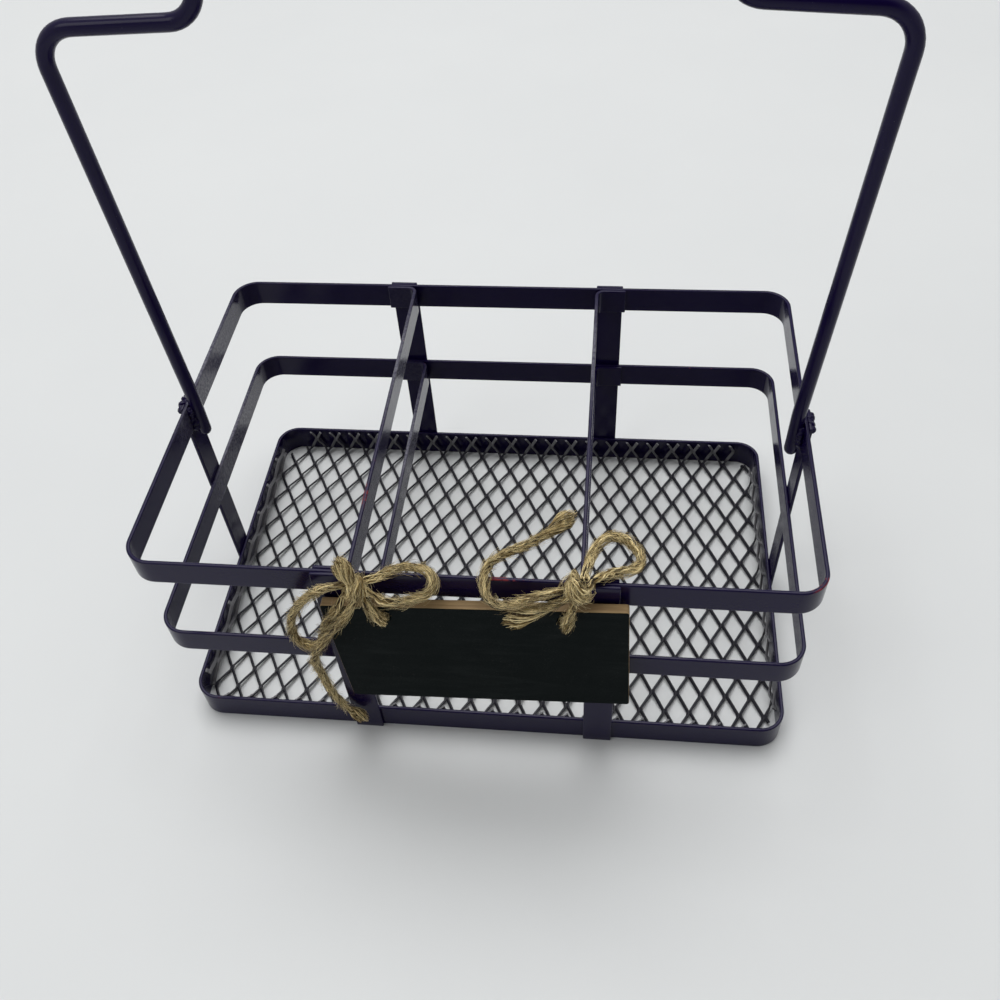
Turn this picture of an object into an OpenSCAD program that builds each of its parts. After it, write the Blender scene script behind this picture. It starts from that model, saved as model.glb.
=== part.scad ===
// Condiment caddy: three welded strip rings on six uprights, two pairs of dividers, an expanded-metal
// floor, a bent wire handle and a small chalkboard sign that hangs from the top ring on jute twine.
// X runs left to right, Y front to back, Z up from the table. The origin is the middle of the base.

/* [Rings] */
// Outside width of the rings, left to right
ring_w = 203; // [170:1:260]
// Outside depth of the rings, front to back
ring_d = 133; // [128:0.5:135]
// Outside radius of the ring corners
corner_r = 8.5; // [7:0.5:14]
// Thickness of the flat strip that rings, uprights and dividers are bent from
strip_t = 1.2; // [1:0.1:1.4]
// Height of the strip that the top and middle rings are made of
band_h = 9.5; // [6:0.5:9.5]
// Height of the base rim
rim_h = 11; // [8:0.5:14]
// Height of the middle ring's top edge
mid_top = 52; // [40:0.2:60]
// Height of the top ring's top edge
caddy_h = 88.6; // [88:0.1:88.7]

/* [Uprights] */
// Width of an upright
upright_w = 9.5; // [8:0.5:12]
// Distance of the front uprights from the middle
front_upright_x = 39.5; // [39:0.5:60]
// Distance of the back uprights from the middle
back_upright_x = 38; // [30:0.5:60]
// Place of the side uprights along Y
side_upright_y = 1.5; // [-5:0.5:5]

/* [Dividers] */
// Distance of a divider's inner face from the middle
divider_x = 32.8; // [32.6:0.1:45]
// Length of the welded tab at each end of a divider
divider_tab = 11; // [8:0.5:14]
// Outside radius of the bend between a divider and its tab
divider_bend = 3.2; // [2.5:0.1:5]

/* [Floor] */
// Short way of the diamonds, across
mesh_short = 8.5; // [6:0.1:14]
// Long way of the diamonds, front to back
mesh_long = 14.7; // [10:0.1:24]
// Width of a strand
mesh_strand = 1.1; // [0.9:0.1:1.8]
// Shift of the diamonds to the right
mesh_shift_x = -1.2; // [-4:0.1:4]
// Shift of the diamonds to the back
mesh_shift_y = 2.9; // [-7:0.1:7]
// Thickness of the floor sheet
mesh_t = 1; // [0.6:0.1:1.5]
// Height of the floor's underside above the table
mesh_z = 0.6; // [0.3:0.1:1.5]

/* [Handle] */
// Diameter of the handle wire
wire_d = 4.4; // [3.5:0.1:6]
// Height of the rounded wire ends
foot_z = 77; // [70:1:80]
// Half the distance between the legs at the shoulders
shoulder_x = 103.6; // [98:0.1:110]
// Height of the left shoulder where it meets the leg
left_shoulder_z = 212.5; // [180:0.5:220]
// Height of the right shoulder where it meets the leg
right_shoulder_z = 215.6; // [180:0.1:220]
// Rise of the left shoulder towards the grip
left_rise = 1.6; // [0:0.1:4]
// Rise of the right shoulder towards the grip
right_rise = 2.7; // [0:0.1:4]
// Half the width of the raised grip
grip_x = 60.3; // [45:0.1:75]
// How far shoulders and grip stand to the right of the middle
handle_shift = 0.5; // [-3:0.1:3]
// Height of the grip
grip_z = 250; // [240:1:290]
// Bend radius at the shoulders
shoulder_bend = 10; // [8:0.5:14]
// Bend radius at the grip
grip_bend = 9; // [7:0.5:12]

/* [Sign] */
// Width of the board
sign_w = 89; // [80:0.5:95]
// Height of the board
sign_h = 50.5; // [45:0.5:55]
// Thickness of the board
sign_t = 3.1; // [2:0.1:3.2]
// Place of the board's middle along X
sign_x = 3.5; // [3:0.1:4]
// Height of the board's middle
sign_z = 55.7; // [55.3:0.1:56]
// Lean of the board in its own plane, right side up, in degrees
sign_tilt = 2.5; // [1.5:0.1:3.5]
// Diameter of the two tie holes
hole_d = 5; // [4:0.1:6]
// Distance between the tie holes
hole_spacing = 53; // [52:0.2:54]
// Depth of the tie holes below the board's top edge
hole_drop = 4.9; // [4.4:0.1:5.4]

/* [Twine] */
// Diameter of the jute twine
twine_d = 2.2; // [1.6:0.1:2.3]
// Diameter of a knot
knot_d = 7.6; // [6:0.1:8]

/* [Hidden] */
$fn = 64;

paint = [0.14, 0.12, 0.23];
mesh_paint = [0.15, 0.15, 0.18];
chalk_black = [0.09, 0.11, 0.11];
jute = [0.56, 0.49, 0.35];

inner_w = ring_w - 2 * strip_t;
inner_d = ring_d - 2 * strip_t;
inner_r = corner_r - strip_t;
mid_z = mid_top - band_h;
top_z = caddy_h - band_h;

// Openings of the floor: a diamond cell drawn in by half a strand
cell_half = mesh_short * mesh_long / 2 / norm([mesh_short, mesh_long]);
opening_share = 1 - mesh_strand / 2 / cell_half;
opening_x = mesh_short / 2 * opening_share;
opening_y = mesh_long / 2 * opening_share;
mesh_edge = 0.7;
// The sheet's turned-up edge stands a little above the rim
lip_rise = 0.4;
lip_z = mesh_z + mesh_t;
lip_h = rim_h + lip_rise - lip_z;
// and stays below it in front
front_drop = 1.7;

// The legs stand upright against the top ring and lean outwards above it
wire_clear = 0.05;
// Straight stretches are a hair thinner than the bends and run a little way into them
wire_ease = 0.1;
wire_lap = 0.4;
leg_x = inner_w / 2 - wire_d / 2 - wire_clear;
lean_z = caddy_h + 3;
lean_bend = 60;
// Half of the handle's route from foot to grip; way is 1 on the right and -1 on the left
function half_handle(way, shoulder_z, rise) = [
    [way * leg_x, foot_z],
    [way * leg_x, lean_z],
    [handle_shift + way * shoulder_x, shoulder_z],
    [handle_shift + way * grip_x, shoulder_z + rise],
    [handle_shift + way * grip_x, grip_z]
];
function backwards(list) = [for (i = [len(list) - 1 : -1 : 0]) list[i]];
half_bends = [0, lean_bend, shoulder_bend, grip_bend, grip_bend];
handle_route = concat(
    half_handle(1, right_shoulder_z, right_rise),
    backwards(half_handle(-1, left_shoulder_z, left_rise))
);
handle_bends = concat(half_bends, backwards(half_bends));

// The board hangs just clear of the front uprights
sign_gap = 0.8;
sign_back = -ring_d / 2 - strip_t - sign_gap;
// The hole cuts run this far past both faces of the board
hole_over = 1;

left_knot_at = [-30, -71, 88.4];
left_stub_tip = [-33.6, -69.6, 97.4];
right_knot_at = [32.2, -70.8, 92];

left_tie_route = [
    [-31.6, -69.2, 90], [-33.8, -67.6, 90.4], [-35, -65.6, 90.5], [-35.7, -63.6, 90.2], [-36, -62.3, 88.2],
    [-36, -62.2, 84], [-35.9, -62.3, 79.8], [-34.8, -62.4, 77.2], [-31.5, -62.8, 75.8], [-27, -64.6, 75.1],
    [-24.2, -67.6, 75], [-24, -72, 75], [-24.6, -73.8, 77.2], [-26, -73.6, 81.2], [-27.9, -72, 86]
];
left_inner_loop_route = [
    [-27.4, -70.2, 90.4], [-24, -69.6, 91.2], [-20, -68, 92.5], [-16, -67, 93.3], [-12.6, -66.9, 93],
    [-9.3, -67.4, 91.9], [-8, -69.2, 89.6], [-9.3, -71.1, 87.1], [-12.8, -72.2, 85.8], [-17.8, -73, 84.8],
    [-22.4, -73, 85], [-26.9, -71.8, 88.2]
];
left_outer_loop_route = [
    [-32.7, -71.6, 89.8], [-36.4, -72.4, 89.7], [-40.6, -72.2, 87.3], [-45.2, -72, 83], [-49, -71.8, 77.6],
    [-51.8, -71.8, 71.8], [-52.9, -72, 67.2], [-52.8, -72.2, 63.6], [-51.3, -72.5, 60.6], [-48, -73, 59.2],
    [-44.8, -73.4, 60.7], [-43.3, -73.8, 64.2], [-42.4, -74.2, 69], [-39.8, -74.6, 75.6],
    [-35.6, -74.2, 82.4], [-32.6, -72.6, 87.3]
];
left_tail_route = [
    [-30.2, -73, 85.9], [-32.6, -74.8, 81], [-37, -75.9, 75], [-41, -76.5, 69.4], [-44.2, -76.8, 63.8],
    [-46.4, -76.2, 58.6], [-47.8, -74.6, 52.8], [-48.6, -72.8, 46.6], [-48.6, -71.6, 40], [-48.4, -71, 33.4],
    [-47.8, -70.6, 26.8], [-46.2, -70.2, 20.8], [-43.2, -70.4, 15.4], [-38.8, -71, 11.6]
];
right_tie_route = [
    [31.8, -68.6, 91.4], [31.4, -66.2, 90.6], [31.3, -64.4, 90], [31, -63.2, 88], [30.6, -63.2, 84.4],
    [30, -63.3, 79.4], [29.4, -64.8, 76.9], [29.1, -68.4, 77.2], [29.1, -72, 77.2], [29.4, -73.8, 79.6],
    [30.6, -73.6, 84.2], [32.5, -72.2, 89.2]
];
right_loop_route = [
    [34.1, -69, 93.8], [34.6, -64.8, 92.6], [35.8, -59.2, 91.6], [37.8, -54.2, 91.2], [41.2, -51.4, 91.2],
    [45.2, -52, 91], [48.2, -54.8, 90.7], [49.7, -58.4, 90.4], [48.4, -61.4, 90.3], [45, -62.8, 90.2],
    [40.6, -64, 90.2], [37.2, -66.8, 90.6], [34.9, -69.6, 91]
];
right_tail_route = [
    [29.3, -71.4, 92.5], [25, -72.2, 91.4], [19.6, -72.8, 89.3], [14.4, -73.2, 86.9], [10.2, -72.9, 85.7],
    [7.3, -71.2, 86.8], [6.2, -68.5, 89.2], [6.2, -65.2, 90.6], [7.9, -61.8, 90.7], [11.5, -58.8, 90.7],
    [16.2, -56, 90.7], [20.7, -52.7, 90.5], [25, -48.3, 90.3], [29.5, -42.8, 90]
];
right_short_end_route = [
    [30.3, -72.7, 90.4], [25.4, -73.6, 87.8], [20.8, -74.2, 85], [16.4, -74.2, 82], [13.2, -74, 79.4]
];

// A rectangle with round corners, centred on the origin
module rounded_plate(w, d, r) {
    square([w - 2 * r, d], center = true);
    square([w, d - 2 * r], center = true);
    for (x = [-1, 1], y = [-1, 1])
        translate([x * (w / 2 - r), y * (d / 2 - r)])
            circle(r);
}

module strip_ring(z, h) {
    translate([0, 0, z])
        linear_extrude(h)
            difference() {
                rounded_plate(ring_w, ring_d, corner_r);
                rounded_plate(inner_w, inner_d, inner_r);
            }
}

// A flat strap on the outside of the rings; y_side is 1 behind and -1 in front
module strap(x, y_side) {
    translate([x - upright_w / 2, y_side > 0 ? ring_d / 2 : -ring_d / 2 - strip_t, 0])
        cube([upright_w, strip_t, caddy_h]);
}

module side_strap(x_side) {
    translate([x_side > 0 ? ring_w / 2 : -ring_w / 2 - strip_t, side_upright_y - upright_w / 2, 0])
        cube([strip_t, upright_w, caddy_h]);
}

// Half of a divider's outline, from the middle of its run to the end of its tab
module half_divider() {
    run = inner_d / 2 - divider_bend;
    square([strip_t, run]);
    translate([divider_bend, run])
        intersection() {
            difference() {
                circle(divider_bend);
                circle(divider_bend - strip_t);
            }
            translate([-divider_bend, 0])
                square(divider_bend);
        }
    translate([divider_bend, inner_d / 2 - strip_t])
        square([divider_tab - divider_bend, strip_t]);
}

module divider(z) {
    translate([divider_x, 0, z])
        linear_extrude(band_h) {
            half_divider();
            mirror([0, 1])
                half_divider();
        }
}

module left_divider(z) {
    mirror([1, 0, 0])
        divider(z);
}

// Diamond openings whose rows start at the middle and reach past a window of this size
module openings(w, d) {
    rows = ceil(d / mesh_long) + 1;
    columns = ceil(w / mesh_short / 2) + 1;
    for (row = [-rows : rows], column = [-columns : columns]) {
        x = (column + (row % 2 == 0 ? 0 : 0.5)) * mesh_short;
        y = row * mesh_long / 2;
        if (abs(x) < (w + mesh_short) / 2 && abs(y) < (d + mesh_long) / 2)
            translate([x, y])
                polygon([[opening_x, 0], [0, opening_y], [-opening_x, 0], [0, -opening_y]]);
    }
}

// A turned-up edge of the sheet, w long and h high, with its cut tips open at the top;
// turned is true where the long way of the diamonds runs along it
module lip(w, h, turned) {
    linear_extrude(mesh_t)
        difference() {
            translate([-w / 2, 0])
                square([w, h]);
            intersection() {
                translate([-w / 2 + mesh_edge, mesh_edge])
                    square([w - 2 * mesh_edge, h]);
                translate([0, h / 2])
                    rotate(turned ? 90 : 0)
                        openings(turned ? h : w, turned ? w : h);
            }
        }
}

// Straight and bent stretches of round wire along points in the X-Z plane, with a bend radius at each point
function heading(a, b) = atan2(b.y - a.y, b.x - a.x);
function half_turn(t) = t > 180 ? t - 360 : t < -180 ? t + 360 : t;
function turn_at(p, i) = half_turn(heading(p[i], p[i + 1]) - heading(p[i - 1], p[i]));
function setback(p, r, i) = i == 0 || i == len(p) - 1 ? 0 : r[i] * tan(abs(turn_at(p, i)) / 2);

module wire(p, r, d) {
    rotate([90, 0, 0]) {
        for (i = [0 : len(p) - 2]) {
            a = heading(p[i], p[i + 1]);
            lap_in = i == 0 ? 0 : wire_lap;
            lap_out = i == len(p) - 2 ? 0 : wire_lap;
            long = norm(p[i + 1] - p[i]) - setback(p, r, i) - setback(p, r, i + 1);
            translate(p[i] + (setback(p, r, i) - lap_in) * [cos(a), sin(a)])
                rotate([0, 90, a])
                    cylinder(h = long + lap_in + lap_out, d = d - wire_ease);
        }
        for (i = [1 : len(p) - 2]) {
            a = heading(p[i - 1], p[i]);
            turn = turn_at(p, i);
            side = turn > 0 ? 1 : -1;
            start = p[i] - setback(p, r, i) * [cos(a), sin(a)];
            translate(start + side * r[i] * [-sin(a), cos(a)])
                rotate(turn > 0 ? a - 90 : a + 90 + turn)
                    rotate_extrude(angle = abs(turn))
                        translate([r[i], 0])
                            circle(d = d);
        }
        for (i = [0, len(p) - 1])
            translate(p[i])
                sphere(d = d - wire_ease);
    }
}

// A tube of twine swept along a route, one ring of sides at each point
function unit(v) = v / norm(v);
function along(p, i) = unit(p[min(i + 1, len(p) - 1)] - p[max(i - 1, 0)]);
function carried(p, i, n) =
    i == len(p) ? [] :
    let (m = unit(n - along(p, i) * (n * along(p, i))))
        concat([m], carried(p, i + 1, m));
function well_off(v) = abs(v.x) < abs(v.y) ? [1, 0, 0] : [0, 1, 0];

module twine(p) {
    sides = 8;
    last = len(p) - 1;
    out = carried(p, 0, well_off(along(p, 0)));
    rings = [
        for (i = [0 : last], s = [0 : sides - 1])
            let (a = s * 360 / sides)
                p[i] + twine_d / 2 * (cos(a) * out[i] + sin(a) * cross(along(p, i), out[i]))
    ];
    walls = [
        for (i = [0 : last - 1], s = [0 : sides - 1], half = [0, 1])
            let (q = i * sides + s, n = i * sides + (s + 1) % sides)
                half == 0 ? [q, q + sides, n] : [n, q + sides, n + sides]
    ];
    start = [for (s = [1 : sides - 2]) [0, s, s + 1]];
    finish = [for (s = [1 : sides - 2]) [last * sides, last * sides + s + 1, last * sides + s]];
    color(jute)
        polyhedron(points = rings, faces = concat(walls, start, finish));
}

module base_rim() {
    color(paint)
        strip_ring(0, rim_h);
}

module base_mesh() {
    color(mesh_paint)
        translate([0, 0, mesh_z])
            linear_extrude(mesh_t)
                difference() {
                    rounded_plate(inner_w, inner_d, inner_r);
                    intersection() {
                        rounded_plate(inner_w - 2 * mesh_edge, inner_d - 2 * mesh_edge, inner_r - mesh_edge);
                        translate([mesh_shift_x, mesh_shift_y])
                            openings(inner_w + 2 * abs(mesh_shift_x), inner_d + 2 * abs(mesh_shift_y));
                    }
                }
}

module mesh_lip() {
    color(mesh_paint) {
        for (turn = [0, 180])
            rotate(turn)
                translate([0, inner_d / 2, lip_z])
                    rotate([90, 0, 0])
                        lip(inner_w - 2 * inner_r, lip_h - (turn == 180 ? front_drop : 0), false);
        for (turn = [90, -90])
            rotate(turn)
                translate([0, inner_w / 2, lip_z])
                    rotate([90, 0, 0])
                        lip(inner_d - 2 * inner_r, lip_h, true);
    }
}

module mid_ring() {
    color(paint)
        strip_ring(mid_z, band_h);
}

module top_ring() {
    color(paint)
        strip_ring(top_z, band_h);
}

module front_left_upright() {
    color(paint)
        strap(-front_upright_x, -1);
}

module front_right_upright() {
    color(paint)
        strap(front_upright_x, -1);
}

module back_left_upright() {
    color(paint)
        strap(-back_upright_x, 1);
}

module back_right_upright() {
    color(paint)
        strap(back_upright_x, 1);
}

module left_upright() {
    color(paint)
        side_strap(-1);
}

module right_upright() {
    color(paint)
        side_strap(1);
}

module top_left_divider() {
    color(paint)
        left_divider(top_z);
}

module top_right_divider() {
    color(paint)
        divider(top_z);
}

module mid_left_divider() {
    color(paint)
        left_divider(mid_z);
}

module mid_right_divider() {
    color(paint)
        divider(mid_z);
}

module handle() {
    color(paint)
        wire(handle_route, handle_bends, wire_d);
}

module sign_board() {
    color(chalk_black)
        translate([sign_x, sign_back, sign_z])
            rotate([0, -sign_tilt, 0])
                rotate([90, 0, 0])
                    difference() {
                        translate([-sign_w / 2, -sign_h / 2, 0])
                            cube([sign_w, sign_h, sign_t]);
                        for (side = [-1, 1])
                            translate([side * hole_spacing / 2, sign_h / 2 - hole_drop, -hole_over])
                                cylinder(h = sign_t + 2 * hole_over, d = hole_d);
                    }
}

module left_tie() {
    twine(left_tie_route);
}

// The knot and the cut end that stands up from it
module left_knot() {
    reach = left_stub_tip - left_knot_at;
    color(jute)
        translate(left_knot_at) {
            sphere(d = knot_d);
            rotate([0, acos(reach.z / norm(reach)), atan2(reach.y, reach.x)])
                cylinder(h = norm(reach), d = twine_d);
        }
}

module left_inner_loop() {
    twine(left_inner_loop_route);
}

module left_outer_loop() {
    twine(left_outer_loop_route);
}

module left_tail() {
    twine(left_tail_route);
}

module right_tie() {
    twine(right_tie_route);
}

module right_knot() {
    color(jute)
        translate(right_knot_at)
            sphere(d = knot_d);
}

module right_loop() {
    twine(right_loop_route);
}

module right_tail() {
    twine(right_tail_route);
}

module right_short_end() {
    twine(right_short_end_route);
}

base_rim();
base_mesh();
mesh_lip();
mid_ring();
top_ring();
front_left_upright();
front_right_upright();
back_left_upright();
back_right_upright();
left_upright();
right_upright();
top_left_divider();
top_right_divider();
mid_left_divider();
mid_right_divider();
handle();
sign_board();
left_tie();
left_knot();
left_inner_loop();
left_outer_loop();
left_tail();
right_tie();
right_knot();
right_loop();
right_tail();
right_short_end();
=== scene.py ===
import math
import bpy
from mathutils import Matrix, Quaternion, Vector


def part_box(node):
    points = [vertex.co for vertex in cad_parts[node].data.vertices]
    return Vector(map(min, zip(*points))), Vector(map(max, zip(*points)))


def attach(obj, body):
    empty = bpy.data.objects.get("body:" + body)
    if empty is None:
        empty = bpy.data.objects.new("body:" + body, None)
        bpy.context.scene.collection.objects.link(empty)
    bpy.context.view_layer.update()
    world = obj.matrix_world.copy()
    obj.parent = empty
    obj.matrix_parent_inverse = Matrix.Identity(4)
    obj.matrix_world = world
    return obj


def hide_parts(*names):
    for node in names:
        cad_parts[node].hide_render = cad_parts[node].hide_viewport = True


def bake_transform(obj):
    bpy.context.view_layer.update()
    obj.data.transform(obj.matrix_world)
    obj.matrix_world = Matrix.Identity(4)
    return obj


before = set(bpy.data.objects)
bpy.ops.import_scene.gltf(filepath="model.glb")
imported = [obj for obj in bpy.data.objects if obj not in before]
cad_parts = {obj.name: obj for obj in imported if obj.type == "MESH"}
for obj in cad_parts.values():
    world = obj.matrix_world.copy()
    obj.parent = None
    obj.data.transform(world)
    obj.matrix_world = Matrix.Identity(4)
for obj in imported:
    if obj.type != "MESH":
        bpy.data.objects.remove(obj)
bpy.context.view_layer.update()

mm = 0.001

# camera, solved from the corners of the three rings; places in mm
photoView = {"place": (37.53, -230.58, 314.64), "aim": (-3.98, 38.82, 0.0), "roll": -4.37, "lens": 35.99}


def addObject(name, data):
    item = bpy.data.objects.new(name, data)
    bpy.context.collection.objects.link(item)
    return item


def makeCamera(view):
    data = bpy.data.cameras.new("photoCamera")
    data.lens = view["lens"]
    data.sensor_width = 36.0
    data.sensor_fit = "HORIZONTAL"
    data.clip_start = 0.01
    camera = addObject("photoCamera", data)
    place = Vector(view["place"]) * mm
    look = Vector(view["aim"]) * mm - place
    turn = look.to_track_quat("-Z", "Y") @ Quaternion((0, 0, 1), math.radians(view["roll"]))
    camera.location = place
    camera.rotation_euler = turn.to_euler()
    bpy.context.scene.camera = camera


makeCamera(photoView)
print("camera set")


# a node's output to reckon with: each operation adds a math node to its tree
class Field:
    def __init__(self, tree, socket):
        self.tree = tree
        self.socket = socket
        self.isVector = socket.type in ("VECTOR", "RGBA")

    def math(self, operation, *others, clamp=False):
        inputs = dict(enumerate((self, *others)))
        return field(self.tree, "ShaderNodeMath", inputs, operation=operation, use_clamp=clamp)

    def vector(self, operation, *others, output=0):
        inputs = dict(enumerate((self, *others)))
        return field(self.tree, "ShaderNodeVectorMath", inputs, output, operation=operation)

    def __add__(self, other):
        return self.vector("ADD", other) if self.isVector else self.math("ADD", other)

    def __sub__(self, other):
        return self.vector("SUBTRACT", other) if self.isVector else self.math("SUBTRACT", other)

    def __mul__(self, other):
        if self.isVector:
            return field(self.tree, "ShaderNodeVectorMath", {0: self, "Scale": other}, operation="SCALE")
        return self.math("MULTIPLY", other)

    def __truediv__(self, other):
        return self.math("DIVIDE", other)

    def __rsub__(self, other):
        return field(self.tree, "ShaderNodeMath", {0: other, 1: self}, operation="SUBTRACT")

    def __rtruediv__(self, other):
        return field(self.tree, "ShaderNodeMath", {0: other, 1: self}, operation="DIVIDE")

    def __neg__(self):
        return self * -1.0

    def into(self, socket):
        self.tree.links.new(self.socket, socket)


def addNode(tree, kind, inputs=None, **settings):
    node = tree.nodes.new(kind)
    for key, value in settings.items():
        setattr(node, key, value)
    for key, value in (inputs or {}).items():
        if isinstance(value, Field):
            value.into(node.inputs[key])
        else:
            node.inputs[key].default_value = value
    return node


def field(tree, kind, inputs=None, output=0, **settings):
    return Field(tree, addNode(tree, kind, inputs, **settings).outputs[output])


def fields(tree, kind, inputs=None, **settings):
    node = addNode(tree, kind, inputs, **settings)
    return {socket.name: Field(tree, socket) for socket in node.outputs}


# an input is given by its first value, or by its kind where it has none
def newTree(name, kind, inputs, outputs):
    tree = bpy.data.node_groups.new(name, kind)
    for label, value in inputs.items():
        bare = isinstance(value, str)
        socketKind = value if bare else {float: "Float", int: "Int"}[type(value)]
        socket = tree.interface.new_socket(label, in_out="INPUT", socket_type="NodeSocket" + socketKind)
        if not bare:
            socket.default_value = value
    for label, socketKind in outputs.items():
        tree.interface.new_socket(label, in_out="OUTPUT", socket_type="NodeSocket" + socketKind)
    return tree, fields(tree, "NodeGroupInput"), tree.nodes.new("NodeGroupOutput").inputs


def ramp(value, low, high, outLow=0.0, outHigh=1.0):
    return field(value.tree, "ShaderNodeMapRange", {0: value, 1: low, 2: high, 3: outLow, 4: outHigh})


def noise(place, scale, detail=2.0, roughness=0.5, output="Fac"):
    return field(place.tree, "ShaderNodeTexNoise", {
        "Vector": place, "Scale": scale, "Detail": detail, "Roughness": roughness}, output)


def split(vector):
    return list(fields(vector.tree, "ShaderNodeSeparateXYZ", {0: vector}).values())


def combine(tree, x=0.0, y=0.0, z=0.0):
    return field(tree, "ShaderNodeCombineXYZ", {0: x, 1: y, 2: z})


# geometry trees: values stored on points or curves, moved points, and the end that all trees share
def storeMark(geometry, name, value, kind="FLOAT", domain="POINT"):
    return field(geometry.tree, "GeometryNodeStoreNamedAttribute", {
        0: geometry, 2: name, 3: value}, data_type=kind, domain=domain)


def storedMark(tree, name, kind="FLOAT"):
    return field(tree, "GeometryNodeInputNamedAttribute", {0: name}, data_type=kind)


def moveBy(geometry, offset):
    return field(geometry.tree, "GeometryNodeSetPosition", {0: geometry, 3: offset})


def moveTo(geometry, place):
    return field(geometry.tree, "GeometryNodeSetPosition", {0: geometry, 2: place})


def endTree(tree, parts, given, result, smooth=True):
    joined = addNode(tree, "GeometryNodeJoinGeometry")
    for part in parts:
        part.into(joined.inputs[0])
    whole = Field(tree, joined.outputs[0])
    shaded = field(tree, "GeometryNodeSetShadeSmooth", {0: whole, "Shade Smooth": smooth})
    real = field(tree, "GeometryNodeRealizeInstances", {0: shaded})
    done = field(tree, "GeometryNodeSetMaterial", {0: real, "Material": given["Material"]})
    done.into(result["Geometry"])


def newPiece(name, mesh):
    mesh.name = name
    return addObject(name, mesh)


# runs a geometry tree on a seed mesh and keeps what it makes as a plain mesh
def grow(name, seedMesh, tree, sizes):
    seed = newPiece(name + "Seed", seedMesh)
    modifier = seed.modifiers.new("grow", "NODES")
    modifier.node_group = tree
    for item in tree.interface.items_tree:
        if item.in_out == "INPUT" and item.name in sizes:
            modifier[item.identifier] = sizes[item.name]
    depsgraph = bpy.context.evaluated_depsgraph_get()
    made = bpy.data.meshes.new_from_object(
        seed.evaluated_get(depsgraph), preserve_all_data_layers=True, depsgraph=depsgraph)
    seed.modifiers.remove(modifier)
    bpy.data.objects.remove(seed)
    return newPiece(name, made)


def pathMesh(points):
    mesh = bpy.data.meshes.new("path")
    mesh.from_pydata([tuple(p) for p in points], [(i, i + 1) for i in range(len(points) - 1)], [])
    return mesh


# a piece has its node's name, with a capital in place of each underscore
def camelName(node):
    first, *rest = node.split("_")
    return first + "".join(word.capitalize() for word in rest)


# shader effects that several finishes share
def fineGrainGroup():
    tree, given, result = newTree("fineGrain", "ShaderNodeTree", {
        "Vector": "Vector", "Grain": 800.0, "Cloud": 60.0}, {"Height": "Float", "Tone": "Float"})
    noise(given["Vector"], given["Grain"], 3.0, 0.55).into(result["Height"])
    noise(given["Vector"], given["Cloud"], 4.0, 0.6).into(result["Tone"])
    return tree


def dustGroup():
    tree, given, result = newTree("dust", "ShaderNodeTree", {
        "Vector": "Vector", "Specks": 900.0, "Patches": 45.0, "Cover": 0.3}, {"Mask": "Float"})
    dots = ramp(noise(given["Vector"], given["Specks"], 2.0, 0.7), 0.78 - given["Cover"] * 0.3, 0.82)
    area = ramp(noise(given["Vector"], given["Patches"], 3.0, 0.6), 0.42, 0.68)
    (dots * area).into(result["Mask"])
    return tree


def rubbedGroup():
    tree, given, result = newTree("rubbed", "ShaderNodeTree", {
        "Vector": "Vector", "Edge": 0.0, "Spot": 0.0, "Scale": 350.0}, {"Mask": "Float"})
    chips = noise(given["Vector"], given["Scale"], 5.0, 0.65)
    onSpot = given["Spot"] * (given["Edge"] * 0.26 + 0.08)
    ramp(chips + (given["Edge"] * 0.07 + onSpot), 0.74, 0.84).into(result["Mask"])
    return tree


fineGrain = fineGrainGroup()
dust = dustGroup()
rubbed = rubbedGroup()


def newFinish(name, **uniform):
    material = bpy.data.materials.new(name)
    material.use_nodes = True
    tree = material.node_tree
    shader = tree.nodes["Principled BSDF"]
    for key, value in uniform.items():
        shader.inputs[key.replace("_", " ")].default_value = value
    return material, tree, shader.inputs, field(tree, "ShaderNodeTexCoord", output="Object")


def useGroup(tree, group, **inputs):
    return fields(tree, "ShaderNodeGroup", inputs, node_tree=group)


def mixColour(factor, first, second):
    inputs = {0: factor, 6: first, 7: second}
    return field(factor.tree, "ShaderNodeMix", inputs, 2, data_type="RGBA")


def pointMark(tree, name, output="Fac"):
    return field(tree, "ShaderNodeAttribute", output=output, attribute_name=name)


def bumpInto(shader, height, strength, distance):
    bump = {"Height": height, "Strength": strength, "Distance": distance}
    field(height.tree, "ShaderNodeBump", bump).into(shader["Normal"])


paintLook = {
    "deep": (0.0046, 0.0018, 0.026, 1), "lifted": (0.0068, 0.0034, 0.036, 1),
    "primer": (0.19, 0.022, 0.03, 1), "dust": (0.3, 0.3, 0.33, 1),
    "smooth": 0.13, "rough": 0.25, "gloss": 0.19,
}


def framePaintFinish(look):
    material, tree, shader, place = newFinish("framePaint", IOR=1.5, Specular_IOR_Level=look["gloss"])
    grain = useGroup(tree, fineGrain, Vector=place, Grain=1100.0, Cloud=70.0)
    edge, spot, dusty = (pointMark(tree, name) for name in ("edge", "worn", "dusty"))
    rub = useGroup(tree, rubbed, Vector=place, Edge=edge, Spot=spot, Scale=420.0)["Mask"]
    # where the listed spots reach, the specks grow thicker and a pale grey film lies on the paint: settled
    # dust and painted sheen
    cover = dusty * 0.7 + 0.2
    specks = useGroup(tree, dust, Vector=place, Specks=1700.0, Patches=38.0, Cover=cover)["Mask"]
    film = dusty * ramp(grain["Height"], 0.32, 0.68, 0.14, 0.56)
    colour = mixColour(grain["Tone"], look["deep"], look["lifted"])
    colour = mixColour(rub, colour, look["primer"])
    # the dust colour goes on the specks, which are dust, and on the film, which is partly painted sheen
    colour = mixColour((specks * 0.55).math("MAXIMUM", film), colour, look["dust"])
    colour.into(shader["Base Color"])
    rough = ramp(grain["Tone"], 0.3, 0.7, look["smooth"], look["rough"])
    (rough + rub.math("MAXIMUM", specks) * 0.3).into(shader["Roughness"])
    bumpInto(shader, grain["Height"] - rub * 0.8, 0.35, 0.05 * mm)
    return material


# film: how much pale film the turned-up edge gets, partly dust and partly painted highlight
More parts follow.
